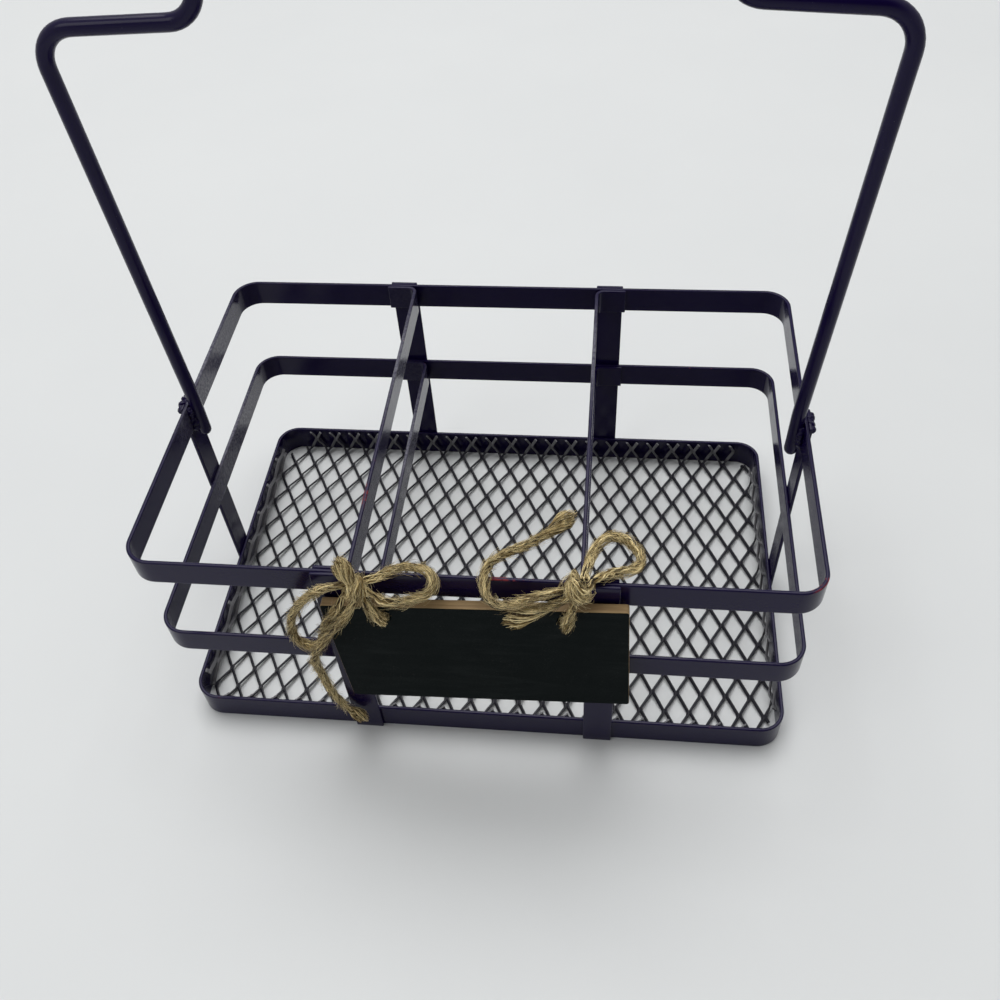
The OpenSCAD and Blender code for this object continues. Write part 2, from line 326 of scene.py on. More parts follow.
meshLook = {
    "deep": (0.0055, 0.005, 0.011, 1), "lifted": (0.016, 0.016, 0.023, 1),
    "bare": (0.09, 0.09, 0.1, 1), "dust": (0.28, 0.28, 0.29, 1), "film": 0.4, "gloss": 0.3,
}


def meshPaintFinish(look):
    material, tree, shader, place = newFinish("meshPaint", IOR=1.5, Specular_IOR_Level=look["gloss"])
    grain = useGroup(tree, fineGrain, Vector=place, Grain=1500.0, Cloud=160.0)
    rub = useGroup(tree, rubbed, Vector=place, Edge=0.35, Spot=0.2, Scale=700.0)["Mask"]
    specks = useGroup(tree, dust, Vector=place, Specks=1500.0, Patches=60.0, Cover=0.5)["Mask"]
    # the turned-up edge, where the strands no longer face up, gets a pale film: partly dust, partly a
    # painted highlight where the strands catch the light
    facingUp = split(pointMark(tree, "facing", "Vector"))[2]
    film = ramp(facingUp, 0.0, 0.6, look["film"], 0.0)
    colour = mixColour(grain["Tone"], look["deep"], look["lifted"])
    colour = mixColour(rub * 0.5, colour, look["bare"])
    # the dust colour goes on the specks, which are dust, and on the film, which is partly painted
    # highlight
    colour = mixColour((specks * 0.6).math("MAXIMUM", film), colour, look["dust"])
    colour.into(shader["Base Color"])
    ramp(grain["Tone"], 0.3, 0.7, 0.36, 0.55).into(shader["Roughness"])
    bumpInto(shader, grain["Height"], 0.4, 0.06 * mm)
    return material


chalkLook = {
    "slate": (0.0034, 0.0058, 0.006, 1), "worn": (0.0056, 0.0086, 0.0087, 1),
    "haze": (0.028, 0.033, 0.033, 1), "chalk": (0.2, 0.21, 0.2, 1), "gloss": 0.06,
}


def chalkFaceFinish(look):
    material, tree, shader, place = newFinish("chalkFace", IOR=1.45, Specular_IOR_Level=look["gloss"])
    grain = useGroup(tree, fineGrain, Vector=place, Grain=1900.0, Cloud=140.0)
    # a dry cloth leaves the haze in slanting streaks
    slant = field(tree, "ShaderNodeMapping", {
        "Vector": place, "Rotation": (0, math.radians(24), 0), "Scale": (0.22, 1, 1)})
    streaks = ramp(noise(slant, 260.0, 5.0, 0.62), 0.45, 0.8, 0.0, 0.55)
    patches = ramp(noise(place, 42.0), 0.36, 0.7, 0.1, 1.0)
    specks = useGroup(tree, dust, Vector=place, Specks=2100.0, Patches=70.0, Cover=0.5)["Mask"]
    colour = mixColour(grain["Tone"], look["slate"], look["worn"])
    colour = mixColour(streaks * patches, colour, look["haze"])
    colour = mixColour(specks * 0.3, colour, look["chalk"])
    colour.into(shader["Base Color"])
    ramp(grain["Height"], 0.3, 0.7, 0.62, 0.8).into(shader["Roughness"])
    bumpInto(shader, grain["Height"], 0.5, 0.06 * mm)
    return material


woodLook = {
    "pale": (0.32, 0.215, 0.098, 1), "deep": (0.19, 0.12, 0.05, 1), "soot": (0.035, 0.027, 0.018, 1),
}


def boardWoodFinish(look):
    material, tree, shader, place = newFinish("boardWood", IOR=1.45)
    grain = useGroup(tree, fineGrain, Vector=place, Grain=1400.0, Cloud=90.0)
    stretched = field(tree, "ShaderNodeMapping", {"Vector": place, "Scale": (0.06, 1, 1)})
    lines = noise(stretched, 900.0, 4.0, 0.6)
    rub = useGroup(tree, rubbed, Vector=place, Edge=0.3, Spot=0.15, Scale=260.0)["Mask"]
    colour = mixColour(ramp(lines, 0.35, 0.66), look["pale"], look["deep"])
    colour = mixColour(rub * 0.45, colour, look["soot"])
    colour.into(shader["Base Color"])
    ramp(grain["Tone"], 0.3, 0.7, 0.55, 0.75).into(shader["Roughness"])
    bumpInto(shader, lines + grain["Height"], 0.4, 0.08 * mm)
    return material


juteLook = {
    "dark": (0.03, 0.016, 0.003, 1), "body": (0.34, 0.235, 0.08, 1), "straw": (0.95, 0.8, 0.44, 1),
    "gloss": 0.28, "rough": 0.75, "sheen": 0.15,
}


def juteFinish(look):
    material, tree, shader, place = newFinish(
        "jute", IOR=1.45, Specular_IOR_Level=look["gloss"], Roughness=look["rough"],
        Sheen_Weight=look["sheen"], Sheen_Roughness=0.5)
    grain = useGroup(tree, fineGrain, Vector=place, Grain=2200.0, Cloud=240.0)
    # every strand has its own tone, which drifts along it
    shade = grain["Tone"] - 0.5 + pointMark(tree, "tone")
    colour = mixColour(ramp(shade, 0.08, 0.42), look["dark"], look["body"])
    colour = mixColour(ramp(shade, 0.42, 0.8), colour, look["straw"])
    colour.into(shader["Base Color"])
    bumpInto(shader, grain["Height"], 0.5, 0.08 * mm)
    return material


framePaint = framePaintFinish(paintLook)
meshPaint = meshPaintFinish(meshLook)
chalkFace = chalkFaceFinish(chalkLook)
boardWood = boardWoodFinish(woodLook)
jute = juteFinish(juteLook)
print("finishes made:", len(bpy.data.materials))


# twine: plies of strands wound round a route, with loose fibres, and a brush of strands at a frayed end
twine = {
    "diameter": 2.2, "step": 0.6, "fibresPerMetre": 8500,
    "sizes": {
        "Plies": 2, "Ply Strands": 11, "Ply Radius": 0.62 * mm, "Wrap Radius": 0.52 * mm,
        "Twist Length": 22.0 * mm, "Strand Radius": 0.18 * mm, "Unevenness": 0.6,
        "Fibre Length": 12.0 * mm, "Fibre Radius": 0.058 * mm, "Fibre Lift": 1.75 * mm,
    },
    # a loosely spun stretch is thicker, and a knot has long hairs standing off it
    "slack": {"rightLoop": 1.22, "rightShortEnd": 1.1},
    "knotHair": {"Fibre Length": 16.0 * mm, "Fibre Lift": 3.4 * mm},
    # brush at a frayed end: its length, number of strands and spread
    "brushes": {
        "rightShortEnd": (12.0, 170, 1.9), "leftTail": (7.0, 110, 1.2), "rightTail": (10.5, 240, 1.6),
        "leftStub": (8.0, 180, 1.8), "leftHoleEnd": (4.0, 50, 0.7), "rightHoleEnd": (4.0, 60, 0.8),
    },
}

# routes in mm, each from its knot outwards
routes = {
    "left_tie": [
        (-31.6, -69.2, 90), (-33.8, -67.6, 90.4), (-35, -65.6, 90.5), (-35.7, -63.6, 90.2),
        (-36, -62.3, 88.2), (-36, -62.2, 84), (-35.9, -62.3, 79.8), (-34.8, -62.4, 77.2),
        (-31.5, -62.8, 75.8), (-27, -64.6, 75.1), (-24.2, -67.6, 75), (-24, -72, 75),
        (-24.6, -73.8, 77.2), (-26, -73.6, 81.2), (-27.9, -72, 86)],
    "left_inner_loop": [
        (-27.4, -70.2, 90.4), (-24, -69.6, 91.2), (-20, -68, 92.5), (-16, -67, 93.3),
        (-12.6, -66.9, 93), (-9.3, -67.4, 91.9), (-8, -69.2, 89.6), (-9.3, -71.1, 87.1),
        (-12.8, -72.2, 85.8), (-17.8, -73, 84.8), (-22.4, -73, 85), (-26.9, -71.8, 88.2)],
    "left_outer_loop": [
        (-32.7, -71.6, 89.8), (-36.4, -72.4, 89.7), (-40.6, -72.2, 87.3), (-45.2, -72, 83),
        (-49, -71.8, 77.6), (-51.8, -71.8, 71.8), (-52.9, -72, 67.2), (-52.8, -72.2, 63.6),
        (-51.3, -72.5, 60.6), (-48, -73, 59.2), (-44.8, -73.4, 60.7), (-43.3, -73.8, 64.2),
        (-42.4, -74.2, 69), (-39.8, -74.6, 75.6), (-35.6, -74.2, 82.4), (-32.6, -72.6, 87.3)],
    "left_tail": [
        (-30.2, -73, 85.9), (-32.6, -74.8, 81), (-37, -75.9, 75), (-41, -76.5, 69.4),
        (-44.2, -76.8, 63.8), (-46.4, -76.2, 58.6), (-47.8, -74.6, 52.8), (-48.6, -72.8, 46.6),
        (-48.6, -71.6, 40), (-48.4, -71, 33.4), (-47.8, -70.6, 26.8), (-46.2, -70.2, 20.8),
        (-43.2, -70.4, 15.4), (-38.8, -71, 11.6)],
    "right_tie": [
        (31.8, -68.6, 91.4), (31.4, -66.2, 90.6), (31.3, -64.4, 90), (31, -63.2, 88),
        (30.6, -63.2, 84.4), (30, -63.3, 79.4), (29.4, -64.8, 76.9), (29.1, -68.4, 77.2),
        (29.1, -72, 77.2), (29.4, -73.8, 79.6), (30.6, -73.6, 84.2), (32.5, -72.2, 89.2)],
    "right_loop": [
        (34.1, -69, 93.8), (34.6, -64.8, 92.6), (35.8, -59.2, 91.6), (37.8, -54.2, 91.2),
        (41.2, -51.4, 91.2), (45.2, -52, 91), (48.2, -54.8, 90.7), (49.7, -58.4, 90.4),
        (48.4, -61.4, 90.3), (45, -62.8, 90.2), (40.6, -64, 90.2), (37.2, -66.8, 90.6),
        (34.9, -69.6, 91)],
    "right_tail": [
        (29.3, -71.4, 92.5), (25, -72.2, 91.4), (19.6, -72.8, 89.3), (14.4, -73.2, 86.9),
        (10.2, -72.9, 85.7), (7.3, -71.2, 86.8), (6.2, -68.5, 89.2), (6.2, -65.2, 90.6),
        (7.9, -61.8, 90.7), (11.5, -58.8, 90.7), (16.2, -56, 90.7), (20.7, -52.7, 90.5),
        (25, -48.3, 90.3), (29.5, -42.8, 90)],
    "right_short_end": [
        (30.3, -72.7, 90.4), (25.4, -73.6, 87.8), (20.8, -74.2, 85), (16.4, -74.2, 82),
        (13.2, -74, 79.4)],
}


# a smooth curve through the points, in steps of equal length
def smoothRoute(points, step):
    knots = [Vector(p) * mm for p in points]
    knots = [knots[0] * 2 - knots[1]] + knots + [knots[-1] * 2 - knots[-2]]
    fine = []
    fineSteps = 24
    for a, b, c, d in zip(knots, knots[1:], knots[2:], knots[3:]):
        for i in range(fineSteps):
            t = i / fineSteps
            fine.append(0.5 * (2 * b + (c - a) * t + (2 * a - 5 * b + 4 * c - d) * t ** 2
                               + (3 * b - a - 3 * c + d) * t ** 3))
    fine.append(knots[-2])
    reach = [0.0]
    for p, q in zip(fine, fine[1:]):
        reach.append(reach[-1] + (q - p).length)
    count = max(8, round(reach[-1] / (step * mm)))
    spaced = []
    at = 0
    for i in range(count + 1):
        want = reach[-1] * i / count
        while at < len(reach) - 2 and reach[at + 1] < want:
            at += 1
        share = (want - reach[at]) / max(reach[at + 1] - reach[at], 1e-9)
        spaced.append(fine[at].lerp(fine[at + 1], min(share, 1.0)))
    return spaced


def routeLength(points):
    return sum((b - a).length for a, b in zip(points, points[1:]))


def twineTree(sizes):
    tree, given, result = newTree("twine", "GeometryNodeTree", {
        "Geometry": "Geometry", **sizes, "Fibres": 60, "Fray Length": 0.0, "Fray Strands": 0,
        "Fray Spread": 0.0015, "Seed": 1, "Material": "Material"}, {"Geometry": "Geometry"})
    route = field(tree, "GeometryNodeMeshToCurve", {0: given["Geometry"]})
    span = fields(tree, "GeometryNodeSplineParameter")
    whole = field(tree, "GeometryNodeSplineLength", output="Length")
    normal = field(tree, "GeometryNodeInputNormal")
    tangent = field(tree, "GeometryNodeInputTangent")
    place = field(tree, "GeometryNodeInputPosition")
    side = tangent.vector("CROSS_PRODUCT", normal)

    def polar(angle, radius):
        return (normal * angle.math("COSINE") + side * angle.math("SINE")) * radius

    def marked(name):
        return storedMark(tree, name)

    def chance(index, seed, low=0.0, high=1.0):
        inputs = {2: low, 3: high, 7: index, 8: given["Seed"] + seed}
        return field(tree, "FunctionNodeRandomValue", inputs, 1, data_type="FLOAT")

    def drift(scale, shift, output="Fac"):
        return noise(place + combine(tree, shift, shift), scale, 1.0, output=output)

    def copies(geometry, amount):
        inputs = {0: geometry, 2: amount}
        return fields(tree, "GeometryNodeDuplicateElements", inputs, domain="SPLINE").values()

    def trim(geometry, start, end):
        return field(tree, "GeometryNodeTrimCurve", {0: geometry, 2: start, 3: end}, mode="FACTOR")

    def resample(geometry):
        return field(tree, "GeometryNodeResampleCurve", {0: geometry, 2: 9}, mode="COUNT")

    def tube(geometry, radius, sides, scale):
        ring = field(tree, "GeometryNodeCurvePrimitiveCircle", {0: sides, 4: radius}, mode="RADIUS")
        return field(tree, "GeometryNodeCurveToMesh", {
            0: geometry, 1: ring, "Scale": scale, "Fill Caps": True})

    # every copy gets its own chances
    def scatter(geometry, index, seed):
        for i, name in enumerate(("spin", "stand", "tone", "lean")):
            geometry = storeMark(geometry, name, chance(index, seed + i), domain="CURVE")
        return geometry

    twist = math.tau / given["Twist Length"]
    outside = given["Wrap Radius"] + given["Ply Radius"]
    jitter = given["Seed"] * 0.37
    frayShare = (given["Fray Length"] / whole).math("MINIMUM", 1.0)

    # centre of a ply: wound round the route, slack in the frayed end
    def plyCentre():
        start = marked("ply") * (math.tau / given["Plies"])
        sway = drift(170.0, marked("ply") * 0.7 + jitter) - 0.5
        angle = sway * (given["Unevenness"] * 6.0) + (span["Length"] * twist + start)
        return polar(angle, given["Wrap Radius"] * (1.0 - marked("fray")))

    # dark hearts of the plies: their darkest tone is painted shade inside the twine
    toEnd = whole - span["Length"]
    frayLength = given["Fray Length"].math("MAXIMUM", 1e-6)
    fray = (given["Fray Length"] - toEnd).math("DIVIDE", frayLength, clamp=True)
    frayed = storeMark(route, "fray", fray)
    hearts, heart = copies(frayed, given["Plies"])
    hearts = storeMark(storeMark(hearts, "ply", heart, domain="CURVE"), "tone", -0.1)
    hearts = moveBy(hearts, plyCentre())
    heartMesh = tube(hearts, given["Ply Radius"] * 0.65, 6, marked("fray") * -0.6 + 1.0)

    # strands on the hearts, opening out at the frayed end
    strands, strand = copies(frayed, given["Plies"] * given["Ply Strands"])
    ply = strand.math("MODULO", given["Plies"])
    strands = storeMark(scatter(strands, strand, 31), "ply", ply, domain="CURVE")
    strands = trim(strands, 0.0, 1.0 - marked("lean") * 0.4 * frayShare)
    wander = drift(260.0, marked("spin") * 4.0) - 0.5
    angle = marked("spin") * math.tau + span["Length"] * twist * -1.4
    angle = wander * (given["Unevenness"] * 8.0) + angle
    depth = wander * given["Unevenness"] + (marked("stand") * 0.45 + 0.55)
    flare = marked("fray").math("POWER", 0.8) * (given["Fray Spread"] * marked("stand").math("SQRT"))
    strands = moveBy(strands, plyCentre() + polar(angle, given["Ply Radius"] * depth + flare))
    thickness = (marked("lean") * 0.8 + 0.6) * (marked("fray") * -0.4 + 1.0)
    strandMesh = tube(strands, given["Strand Radius"], 4, thickness)

    # loose fibres, each rooted on the surface with its end standing off
    fibres, fibre = copies(route, given["Fibres"])
    share = (given["Fibre Length"] / whole).math("MINIMUM", 0.9)
    first = chance(fibre, 11) * (1.0 - share)
    last = share * chance(fibre, 12, 0.4, 1.0) + first
    fibres = resample(trim(scatter(fibres, fibre, 13), first, last))
    free = span["Factor"].math("POWER", 1.7)
    angle = marked("spin") * math.tau + span["Length"] * twist * (marked("lean") * 1.6 + 0.2)
    rise = marked("stand").math("POWER", 1.2) * given["Fibre Lift"]
    fibres = moveBy(fibres, polar(angle, free * rise + outside * 0.92))
    curl = drift(420.0, marked("spin") * 3.0, "Color") - (0.5, 0.5, 0.5)
    fibres = moveBy(fibres, curl * (free * 0.0016))
    fibreMesh = tube(fibres, given["Fibre Radius"], 3, span["Factor"] * -0.6 + 1.0)

    # brush of strands at a frayed end
    brush, bristle = copies(resample(trim(route, 1.0 - frayShare, 1.0)), given["Fray Strands"])
    brush = scatter(brush, bristle, 23)
    opening = (span["Factor"] * 1.9).math("SINE")
    radius = marked("stand").math("SQRT") * (opening * given["Fray Spread"] + outside * 0.85)
    angle = marked("spin") * math.tau + span["Length"] * (twist * 0.6)
    brush = moveBy(brush, polar(angle, radius))
    # the outer strands are the shorter ones, so the brush has a round end
    stretch = marked("stand") * -0.3 + (marked("lean") * -0.25 + 0.2)
    brush = moveBy(brush, tangent * (stretch * given["Fray Length"] * span["Factor"]))
    curl = drift(500.0, marked("spin") * 5.0, "Color") - (0.5, 0.5, 0.5)
    brush = moveBy(brush, curl * (opening * 0.001))
    brushMesh = tube(brush, given["Strand Radius"] * 0.7, 4, span["Factor"] * -0.5 + 1.0)

    endTree(tree, (heartMesh, strandMesh, fibreMesh, brushMesh), given, result)
    return tree


twineNodes = twineTree(twine["sizes"])


def spinTwine(name, points, seed, fuzz=1.0):
    sizes = dict(twine["sizes"])
    sizes["Fibres"] = int(routeLength(points) * twine["fibresPerMetre"] * fuzz)
    slack = twine["slack"].get(name, 1.0)
    for label in ("Ply Radius", "Wrap Radius", "Strand Radius"):
        sizes[label] *= slack
    sizes["Fibre Lift"] /= slack ** 2
    if name.endswith("Knot"):
        sizes.update(twine["knotHair"])
    if name in twine["brushes"]:
        length, count, spread = twine["brushes"][name]
        sizes.update({"Fray Length": length * mm, "Fray Strands": count, "Fray Spread": spread * mm})
    sizes["Seed"] = seed
    sizes["Material"] = jute
    piece = grow(name, pathMesh(points), twineNodes, sizes)
    return piece


def hangTwine(piece, onSign):
    if onSign:
        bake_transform(piece)
    else:
        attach(piece, "frame")


cords = {
    "left_inner_loop": {"end": "object", "lay": "loose", "onSign": False, "seed": 5},
    "left_outer_loop": {"end": "object", "lay": "hanging", "onSign": True, "seed": 9},
    "left_tail": {"end": "bare", "lay": "hanging", "onSign": True, "seed": 13},
    "right_loop": {"end": "object", "lay": "loose", "onSign": False, "seed": 17},
    "right_tail": {"end": "bare", "lay": "loose", "onSign": False, "seed": 21},
}
for node, cord in cords.items():
    points = smoothRoute(routes[node], twine["step"])
    piece = spinTwine(camelName(node), points, cord["seed"])
    hangTwine(piece, cord["onSign"])
    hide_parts(node)
    routeLength(points)

# stretches that are too short or too bound to be free cords
for node, seed in (("right_short_end", 41), ("left_tie", 25), ("right_tie", 29)):
    piece = spinTwine(camelName(node), smoothRoute(routes[node], twine["step"]), seed)
    hangTwine(piece, True)
    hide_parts(node)

# frayed ends that hang in front of the tie holes
holeEnds = {
    "leftHoleEnd": [
        (-27.4, -73.4, 84.6), (-25.8, -74.5, 81.2), (-24.1, -74.8, 78.4), (-22.2, -74.6, 76.4)],
    "rightHoleEnd": [
        (31.4, -73.6, 86), (30.3, -74.5, 82.6), (29.5, -74.8, 79.6), (29, -74.8, 77.4)],
}
for seed, (name, points) in enumerate(holeEnds.items(), 49):
    hangTwine(spinTwine(name, smoothRoute(points, twine["step"]), seed), True)

# each knot is a few turns drawn tight over the bow; the left one has a short end standing up
knots = {
    "left_knot": {"at": (-30, -71.4, 88.2), "axis": (0.9, 0.2, -0.35), "rise": 4.6, "seed": 33},
    "right_knot": {"at": (32.2, -71.2, 91.6), "axis": (0.75, 0.2, 0.6), "rise": 4.2, "seed": 37},
}
knotTurns = {"radius": 2.8, "turns": 2.4, "points": 40, "step": 0.5}
leftStub = [(-30.4, -71.2, 89.6), (-31.2, -71.2, 92.4), (-32.4, -70.6, 94.8), (-33.8, -69.6, 97.6)]


def knotRoute(knot, wind):
    axis = Vector(knot["axis"]).normalized()
    across = axis.cross(Vector((0, 1, 0))).normalized()
    out = axis.cross(across)
    points = []
    for i in range(wind["points"] + 1):
        t = i / wind["points"]
        angle = t * wind["turns"] * math.tau
        radius = wind["radius"] * (0.55 + 0.45 * math.sin(math.pi * t) ** 0.5)  # the ends are tucked in
        along = (t - 0.5) * knot["rise"] + 0.5 * math.sin(angle * 1.5)
        points.append(Vector(knot["at"]) + axis * along
                      + (across * math.cos(angle) + out * math.sin(angle)) * radius)
    return smoothRoute(points, wind["step"])


for node, knot in knots.items():
    piece = spinTwine(camelName(node), knotRoute(knot, knotTurns), knot["seed"], fuzz=0.8)
    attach(piece, "frame")
    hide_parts(node)
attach(spinTwine("leftStub", smoothRoute(leftStub, knotTurns["step"]), 45), "frame")
print("twine spun:", len(cords), "free stretches")


# strips: a flat section with rounded edges, swept along each bent strip
strip = {"thickness": 1.2, "edgeRadius": 0.36, "cornerRadius": 8.5, "tabRadius": 2.6, "step": 3.0}

# paint rubbed through to the primer, and a pale film of settled dust and painted sheen: place and reach in
# mm
wornSpots = [
    ((99.6, -64.5, 88.6), 9), ((97, -67, 86.5), 6), ((11.5, -65.9, 88.6), 9), ((-33.4, -37, 88.6), 8),
    ((43.5, -67.6, 25.5), 4),
]
dustAndSheenSpots = {
    "topRing": [((-100.6, 22, 84), 42)], "midRing": [((-100.6, 25, 47), 38)],
    "topLeftDivider": [((-33.4, 26, 84), 42)], "midLeftDivider": [((-33.4, 26, 47), 42)],
    "topRightDivider": [((33.4, 30, 84), 34)],
}


# points round a section, each with a mark for the edges; a brace beside each edge keeps the faces flat
def roundedSection(width, thickness, radius):
    points = []
    radius = max(radius, 0.02 * mm)
    brace = 0.18 * mm
    for turn, (sx, sy) in enumerate(((1, 1), (-1, 1), (-1, -1), (1, -1))):
        centre = Vector((sx * (width / 2 - radius), sy * (thickness / 2 - radius)))
        for k in range(-1, 5):
            angle = math.radians(90 * turn + 30 * min(max(k, 0), 3))
            point = centre + Vector((math.cos(angle), math.sin(angle))) * radius
            if k == -1:
                point -= Vector((-math.sin(angle), math.cos(angle))) * brace
            if k == 4:
                point += Vector((-math.sin(angle), math.cos(angle))) * brace
            points.append((point.x, point.y, 1.0 if 0 <= k <= 3 else 0.0))
    return points


def roundSection(radius, sides=20):
    return [(radius * math.cos(math.tau * i / sides), radius * math.sin(math.tau * i / sides), 0.0)
            for i in range(sides)]


# straights and arcs through the points, in steps
def bentPath(points, radii, step):
    points = [Vector(p) * mm for p in points]
    path = [points[0]]
    arcStep = 9  # degrees

    def straightTo(end):
        start = path[-1]
        count = max(1, math.ceil((end - start).length / (step * mm)))
        path.extend(start.lerp(end, k / count) for k in range(1, count + 1))

    for before, corner, after, bend in zip(points, points[1:], points[2:], radii[1:]):
        into = (corner - before).normalized()
        away = (after - corner).normalized()
        turn = into.angle(away)
        radius = bend * mm
        start = corner - into * radius * math.tan(turn / 2)
        straightTo(start)
        if radius and turn > 1e-4:
            inward = (away - into * away.dot(into)).normalized()
            count = max(4, math.ceil(math.degrees(turn) / arcStep))
            for k in range(1, count + 1):
                a = turn * k / count
                path.append(start + inward * radius * (1 - math.cos(a)) + into * radius * math.sin(a))
    straightTo(points[-1])
    return path


def spotShares(verts, spots):
    return [max([0.0] + [1 - (v / mm - Vector(place)).length / reach for place, reach in spots])
            for v in verts]


def sweep(name, path, up, sectionAt, endRadius=0.0, closed=False):
    up = Vector(up)
    if closed and (path[0] - path[-1]).length < 1e-7:
        path = path[:-1]
    count = len(path)
    stations = []
    for i, point in enumerate(path):
        before = path[i - 1] if closed or i else point
        after = path[(i + 1) % count] if closed or i < count - 1 else point
        stations.append((point, (after - before).normalized(), 0.0))
    if not closed:  # round the ends over
        bends = [math.radians(a) for a in (22, 44, 64, 82)]
        caps = [(math.sin(a) * endRadius, (1 - math.cos(a)) * endRadius) for a in bends]
        (head, headWay, _), (tail, tailWay, _) = stations[0], stations[-1]
        stations = ([(head - headWay * out, headWay, inset) for out, inset in reversed(caps)] + stations
                    + [(tail + tailWay * out, tailWay, inset) for out, inset in caps])
    verts, edges = [], []
    for point, along, inset in stations:
        across = along.cross(up).normalized()
        for u, v, mark in sectionAt(inset):
            verts.append(point + up * u + across * v)
            edges.append(max(mark, 1.0 if inset > 0 else 0.0))
    size = len(sectionAt(0.0))
    rows = len(stations)
    faces = []
    for i in range(rows if closed else rows - 1):
        a, b = i * size, (i + 1) % rows * size
        for j in range(size):
            k = (j + 1) % size
            faces.append((a + j, a + k, b + k, b + j))
    if not closed:
        faces.append(tuple(reversed(range(size))))
        faces.append(tuple(range((rows - 1) * size, rows * size)))
    mesh = bpy.data.meshes.new(name)
    mesh.from_pydata([tuple(v) for v in verts], [], faces)
    mesh.polygons.foreach_set("use_smooth", [True] * len(faces))
    marks = {
        "edge": edges, "worn": spotShares(verts, wornSpots),
        "dusty": spotShares(verts, dustAndSheenSpots.get(name, []))}
    for label, values in marks.items():
        mesh.attributes.new(label, "FLOAT", "POINT").data.foreach_set("value", values)
    mesh.materials.append(framePaint)
    piece = newPiece(name, mesh)
    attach(piece, "frame")
    return piece


def stripSection(width):
    thickness, radius = strip["thickness"] * mm, strip["edgeRadius"] * mm
    return lambda inset: roundedSection(width - 2 * inset, thickness - 2 * inset, radius - inset)


def makeRing(node):
    low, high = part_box(node)
    half = strip["thickness"] / 2
    x, y = high.x / mm - half, high.y / mm - half
    z = (low.z + high.z) / 2 / mm
    r = strip["cornerRadius"] - half
    points = [(0, -y, z), (x, -y, z), (x, y, z), (-x, y, z), (-x, -y, z), (0, -y, z)]
    path = bentPath(points, [0, r, r, r, r, 0], strip["step"])
    ring = sweep(camelName(node), path, (0, 0, 1), stripSection(high.z - low.z), closed=True)
    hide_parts(node)


def makeUpright(node):
    low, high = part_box(node)
    middle = (low + high) / 2 / mm
    end = strip["edgeRadius"]
    points = [(middle.x, middle.y, low.z / mm + end), (middle.x, middle.y, high.z / mm - end)]
    wide = (1, 0, 0) if high.x - low.x > high.y - low.y else (0, 1, 0)
    upright = sweep(camelName(node), bentPath(points, [0, 0], strip["step"]), wide,
                    stripSection(max(high.x - low.x, high.y - low.y)), endRadius=end * mm)
    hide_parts(node)


def makeDivider(node):
    low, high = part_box(node)
    half, end = strip["thickness"] / 2, strip["edgeRadius"]
    side = 1 if low.x > 0 else -1
    near, far = sorted((abs(low.x) / mm, abs(high.x) / mm))
    x, tab = side * (near + half), side * (far - end)
    y = high.y / mm - half
    z = (low.z + high.z) / 2 / mm
    r = strip["tabRadius"]
    path = bentPath([(tab, -y, z), (x, -y, z), (x, y, z), (tab, y, z)], [0, r, r, 0], strip["step"])
    divider = sweep(camelName(node), path, (0, 0, 1), stripSection(high.z - low.z), endRadius=end * mm)
    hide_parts(node)


for node in ("base_rim", "mid_ring", "top_ring"):
    makeRing(node)
for place in ("front_left", "front_right", "back_left", "back_right", "left", "right"):
    makeUpright(place + "_upright")
for place in ("top_left", "mid_left", "top_right", "mid_right"):
    makeDivider(place + "_divider")
print("strips swept")


# handle: one bent wire, each side from its foot to the grip in X and Z
handle = {
    "wire": 4.4, "step": 3.0, "bends": [0, 60, 10, 9, 9],
    "right": [(98.05, 77), (98.05, 91.6), (104.1, 215.6), (60.8, 218.3), (60.8, 250)],
    "left": [(-98.05, 77), (-98.05, 91.6), (-103.1, 212.5), (-59.8, 214.1), (-59.8, 250)],
}


def makeHandle(sizes):
    points = [(x, 0, z) for x, z in sizes["right"] + sizes["left"][::-1]]
    radii = sizes["bends"] + sizes["bends"][::-1]
    radius = sizes["wire"] / 2 * mm
    wire = sweep("handleWire", bentPath(points, radii, sizes["step"]), (0, 1, 0),
                 lambda inset: roundSection(radius - inset), endRadius=radius)
    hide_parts("handle")


makeHandle(handle)
print("handle bent")


# floor: zigzag ribbons of expanded metal on a sheet that turns up against the rim
floorMesh = {
    "Pitch Across": 8.5 * mm, "Pitch Along": 14.7 * mm, "Ribbons": 54, "Rows": 12,
    "Shift Across": -1.17 * mm, "Shift Along": 2.94 * mm,
    "Strand": 1.25 * mm, "Sheet": 0.62 * mm, "Edge": 0.22 * mm,
    "Lean": math.radians(42), "Bond": 0.09, "Half Width": 98.95 * mm, "Half Depth": 63.95 * mm,
    "Lip": 9.3 * mm, "Front Lip": 7.6 * mm, "Corner": 7.0 * mm, "Bend": 1.3 * mm, "Height": 1.3 * mm,
}


